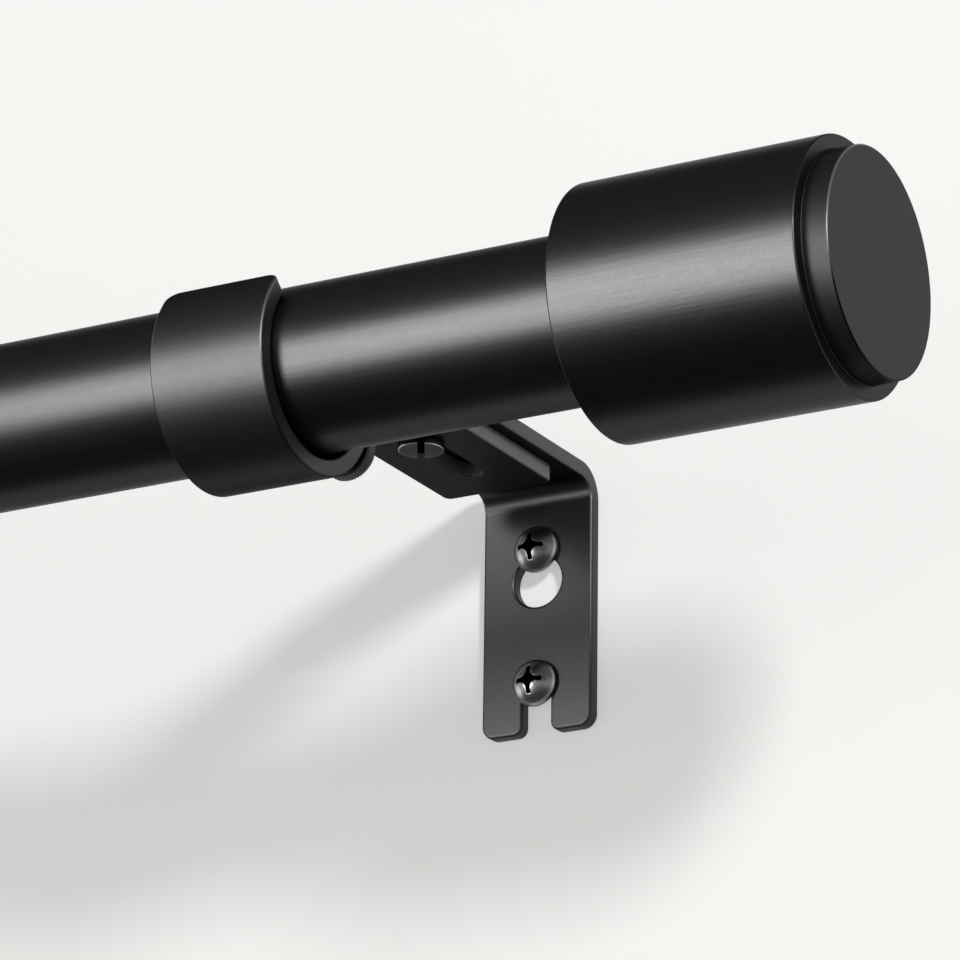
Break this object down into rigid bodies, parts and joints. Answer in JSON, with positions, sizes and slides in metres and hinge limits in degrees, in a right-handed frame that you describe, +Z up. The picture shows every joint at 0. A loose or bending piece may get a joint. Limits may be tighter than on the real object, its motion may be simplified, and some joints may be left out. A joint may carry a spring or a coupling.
{
  "type": "extendable curtain rod",
  "caption": "Telescopic round curtain rod with stepped drum finials, held by adjustable wall brackets with open hooks.",
  "frame": {"origin": "on the wall, midway between the two screws of the right bracket", "axes": "+X along the rod to its fixed (right) end, +Y into the wall, +Z up"},
  "size_m": [0.7109, 0.1337, 0.052],
  "materials": {
    "black_metal": "satin powder coat",
    "black_screw": "smooth black, glossier than the coat",
    "black_plastic": "matt"
  },
  "bodies": {
    "right_bracket": {"right_wall_bracket": "black_metal", "right_wall_screws": "black_screw", "right_clamp_screw": "black_screw"},
    "rod": {"right_cradle": "black_metal", "outer_tube": "black_metal", "tube_mouth_ring": "black_plastic", "right_finial_cap": "black_metal", "right_finial_core": "black_plastic"},
    "inner_rod": {"inner_tube": "black_metal", "inner_tube_guide": "black_plastic", "left_cradle": "black_metal", "left_finial_cap": "black_metal", "left_finial_core": "black_plastic"},
    "left_bracket": {"left_wall_bracket": "black_metal", "left_wall_screws": "black_screw", "left_clamp_screw": "black_screw"},
    "right_thumb": {"right_thumb_screw": "black_screw"},
    "left_thumb": {"left_thumb_screw": "black_screw"}
  },
  "joints": [
    {"name": "projection", "type": "slide", "parent": "right_bracket", "child": "rod", "axis": [0, -1, 0], "range_m": [-0.005, 0.0145]},
    {"name": "extension", "type": "slide", "parent": "rod", "child": "inner_rod", "axis": [-1, 0, 0], "range_m": [0, 0.508]},
    {"name": "left_projection", "type": "slide", "parent": "inner_rod", "child": "left_bracket", "axis": [0, 1, 0], "range_m": [-0.005, 0.0145]},
    {"name": "right_thumb_slide", "type": "slide", "parent": "rod", "child": "right_thumb", "axis": [0, 0.9914, -0.1305], "range_m": [0, 0.003]},
    {"name": "left_thumb_slide", "type": "slide", "parent": "inner_rod", "child": "left_thumb", "axis": [0, 0.9914, -0.1305], "range_m": [0, 0.006]}
  ],
  "couplings": [
    {"joint": "left_projection", "follows": "projection", "ratio": 1}
  ]
}
